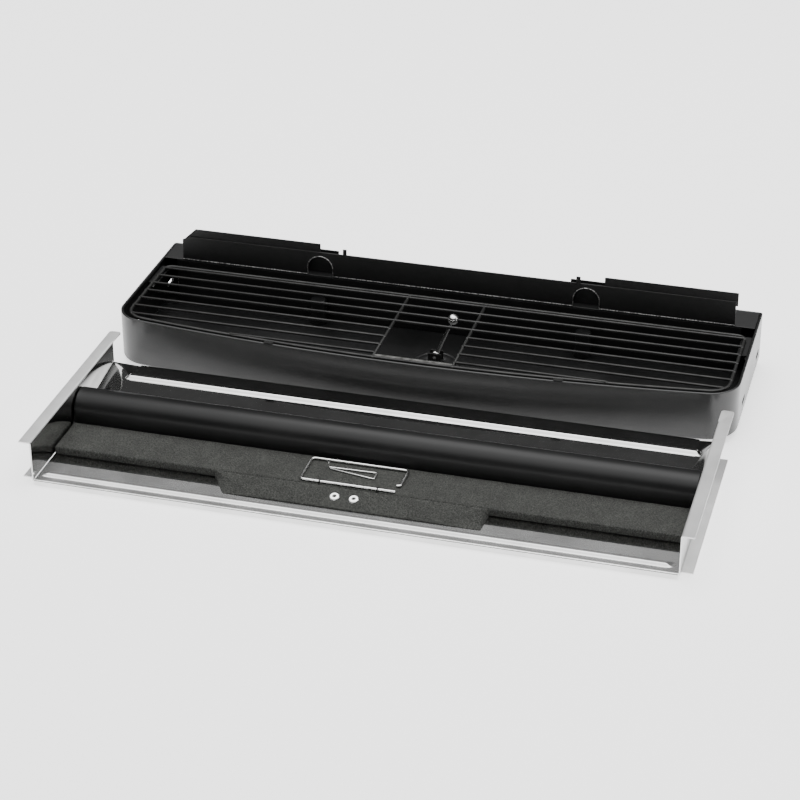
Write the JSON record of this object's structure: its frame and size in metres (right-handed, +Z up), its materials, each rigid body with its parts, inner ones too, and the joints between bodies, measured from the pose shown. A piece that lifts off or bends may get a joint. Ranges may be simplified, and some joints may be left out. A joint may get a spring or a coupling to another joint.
{
  "type": "slide-out tray and trough unit",
  "caption": "Low slide-out unit: steel tray on channel rails with a foam and bolster insert, and a black trough with a lift-out wire rack, a lever and an arched back plate.",
  "frame": {"origin": "on the ground, under the middle of the whole unit with the trough behind the tray", "axes": "+X across to the right, +Y from the tray's front edge back to the trough, +Z up"},
  "size_m": [0.5668, 0.3786, 0.083],
  "materials": {
    "polished_steel": "polished stainless sheet",
    "satin_steel": "satin",
    "bright_wire": "bright plated",
    "black_enamel": "gloss enamel",
    "rack_wire": "dark plated wire",
    "black_foam": "rough cellular foam",
    "black_plastic": "satin moulded",
    "black_rubber": "matte"
  },
  "bodies": {
    "tray": {"tray_floor": "polished_steel", "rail_left": "satin_steel", "rail_right": "satin_steel"},
    "insert": {"insert_backing": "satin_steel", "foam_pad": "black_foam", "foam_tongue": "black_foam", "rivet_left": "bright_wire", "rivet_right": "bright_wire", "bolster_shell": "black_plastic", "bolster_cap_left": "black_plastic", "bolster_cap_right": "black_plastic", "bail_staple_left": "bright_wire", "bail_staple_right": "bright_wire", "hairpin": "bright_wire"},
    "bail": {"bail": "bright_wire"},
    "trough": {"trough_shell": "black_enamel", "rear_ledge": "black_enamel", "rear_wall": "black_enamel", "back_plate": "black_enamel", "arch_cover_left": "black_enamel", "arch_cover_right": "black_enamel", "upper_strip_left": "black_enamel", "upper_strip_right": "black_enamel", "post_left": "black_enamel", "post_right": "black_enamel", "rack_bracket_left": "black_enamel", "rack_bracket_right": "black_enamel", "end_screw_left_front": "satin_steel", "end_screw_left_rear": "satin_steel", "end_screw_right_front": "satin_steel", "end_screw_right_rear": "satin_steel", "rack_clip_left": "bright_wire", "rack_clip_right": "bright_wire", "foot_front_left": "black_rubber", "foot_front_right": "black_rubber", "foot_rear_left": "black_rubber", "foot_rear_right": "black_rubber", "valve_seat": "black_enamel", "valve_block": "black_enamel", "valve_pin": "satin_steel"},
    "rack": {"rack": "rack_wire"},
    "lever": {"valve_lever": "satin_steel", "valve_knob": "bright_wire"}
  },
  "joints": [
    {"name": "insert_lift", "type": "slide", "parent": "tray", "child": "insert", "axis": [0, 0, 1], "range_m": [0, 0.08]},
    {"name": "bail_fold", "type": "hinge", "parent": "insert", "child": "bail", "pos_m": [-0.0111, -0.14265, 0.0143], "axis": [1, 0, 0], "range_deg": [0, 95]},
    {"name": "trough_slide", "type": "slide", "parent": "tray", "child": "trough", "axis": [0, 1, 0], "range_m": [0, 0.12]},
    {"name": "rack_lift", "type": "slide", "parent": "trough", "child": "rack", "axis": [0, 0, 1], "range_m": [0, 0.1]},
    {"name": "lever_tilt", "type": "hinge", "parent": "trough", "child": "lever", "pos_m": [0.001, 0.09555, 0.0155], "axis": [0, -1, 0], "range_deg": [0, 45]}
  ]
}
